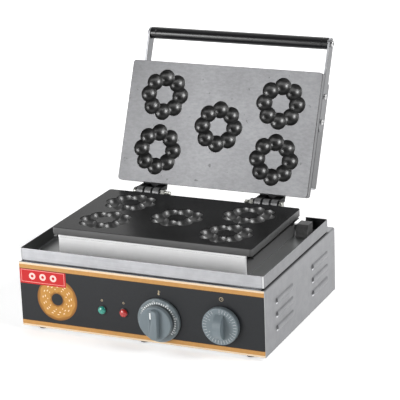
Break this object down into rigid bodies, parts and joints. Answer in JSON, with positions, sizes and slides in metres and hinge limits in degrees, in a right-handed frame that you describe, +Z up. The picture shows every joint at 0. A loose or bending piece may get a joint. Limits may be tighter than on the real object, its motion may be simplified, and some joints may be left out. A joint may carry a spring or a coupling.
{
  "type": "doughnut maker",
  "caption": "Table-top electric doughnut maker: hinged heated plates with flower-ring moulds over a drip tray, with a bar handle, a temperature knob, a timer and pilot lamps.",
  "frame": {"origin": "on the table, under the middle of the object's bounding box", "axes": "+X to the right seen from the front, +Y to the back, +Z up"},
  "size_m": [0.3848, 0.4203, 0.365],
  "materials": {
    "panel_charcoal": "satin",
    "panel_print": "printed satin film",
    "stainless": "brushed",
    "zinc_steel": "zinc plated",
    "bright_steel": "polished",
    "coated_aluminium": "non-stick coating",
    "grey_aluminium": "satin non-stick face",
    "element": "oxidised sheath",
    "insulation": "mineral board",
    "black_rubber": "matt",
    "black_plastic": "semi gloss",
    "knob_grey": "satin",
    "control_plastic": "moulded",
    "copper": "drawn tube",
    "green_lens": "translucent",
    "red_lens": "translucent"
  },
  "bodies": {
    "base": {"base_housing": "stainless", "front_panel": "panel_charcoal", "panel_overlay": "panel_print", "bottom_plate": "zinc_steel", "feet": "black_rubber", "foot_screws": "zinc_steel", "cord_gland": "black_plastic", "terminal_block": "control_plastic", "drip_tray": "stainless", "lower_heater_box": "stainless", "lower_mould_plate": "coated_aluminium", "lower_heating_element": "element", "lower_element_clamp": "zinc_steel", "lower_clamp_screws": "zinc_steel", "lower_insulation": "insulation", "lead_outlet_cover": "stainless", "lead_grommet": "black_rubber", "left_hinge_base": "zinc_steel", "right_hinge_base": "zinc_steel", "hinge_base_screws": "zinc_steel", "hinge_bolts": "bright_steel", "hinge_nuts": "bright_steel", "temperature_scale_ring": "knob_grey", "thermostat_body": "control_plastic", "thermostat_capillary": "copper", "timer_body": "control_plastic", "green_lamp_lens": "green_lens", "red_lamp_lens": "red_lens", "lamp_bezels": "black_plastic", "lamp_holders": "control_plastic", "lamp_nuts": "zinc_steel"},
    "lid": {"upper_mould_plate": "grey_aluminium", "upper_heating_element": "element", "upper_element_clamp": "zinc_steel", "upper_clamp_screws": "zinc_steel", "upper_insulation": "insulation", "lid_cover": "stainless", "lid_grommet": "black_rubber", "left_hinge_leaf": "zinc_steel", "right_hinge_leaf": "zinc_steel", "hinge_leaf_screws": "zinc_steel", "left_handle_arm": "stainless", "right_handle_arm": "stainless", "handle_grip": "black_plastic", "handle_rod": "zinc_steel", "handle_end_screws": "bright_steel", "arm_screws": "bright_steel"},
    "temperature_knob": {"temperature_knob": "knob_grey", "thermostat_shaft": "zinc_steel"},
    "timer_knob": {"timer_knob": "knob_grey", "timer_shaft": "zinc_steel"}
  },
  "joints": [
    {"name": "lid_hinge", "type": "hinge", "parent": "base", "child": "lid", "pos_m": [0, 0.06035, 0.14075], "axis": [1, 0, 0], "range_deg": [0, 113.9]},
    {"name": "temperature_knob_turn", "type": "hinge", "parent": "base", "child": "temperature_knob", "pos_m": [0.0312, -0.18515, 0.0415], "axis": [0, 1, 0], "range_deg": [0, 270]},
    {"name": "timer_knob_turn", "type": "hinge", "parent": "base", "child": "timer_knob", "pos_m": [0.1262, -0.18515, 0.0462], "axis": [0, 1, 0], "range_deg": [0, 300]}
  ]
}
